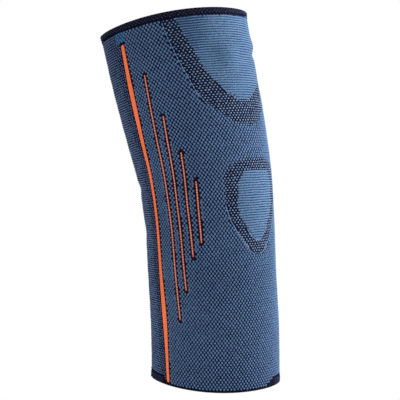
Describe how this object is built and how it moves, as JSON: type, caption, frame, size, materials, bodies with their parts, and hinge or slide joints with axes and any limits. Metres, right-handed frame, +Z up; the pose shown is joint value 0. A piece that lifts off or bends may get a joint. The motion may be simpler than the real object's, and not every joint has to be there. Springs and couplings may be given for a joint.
{
  "type": "elbow support",
  "caption": "Knitted tubular elbow support in its worn, slightly bent form, open at both ends, with bound hems and raised stripes along the sides of the elbow.",
  "frame": {"origin": "centre of the elbow, on the sleeve's own axis, where the arm's joint sits inside it", "axes": "+Z up the sleeve from the forearm end to the upper-arm end, -Y to the side that faces the viewer, +X to that viewer's right"},
  "size_m": [0.1207, 0.0973, 0.2521],
  "materials": {
    "knit": "two-tone blue elastic knit, matt, with darker and lighter knitted zones",
    "hem": "near-black navy bound edge, matt, fine ribs",
    "stripe": "bright orange raised knitted rib, matt"
  },
  "bodies": {
    "root": {"sleeve": "knit", "upper_hem": "hem", "lower_hem": "hem", "main_stripe_left": "stripe", "side_stripe_1_left": "stripe", "side_stripe_2_left": "stripe", "side_stripe_3_left": "stripe", "side_stripe_4_left": "stripe", "main_stripe_right": "stripe", "side_stripe_1_right": "stripe", "side_stripe_2_right": "stripe", "side_stripe_3_right": "stripe", "side_stripe_4_right": "stripe"}
  },
  "joints": []
}
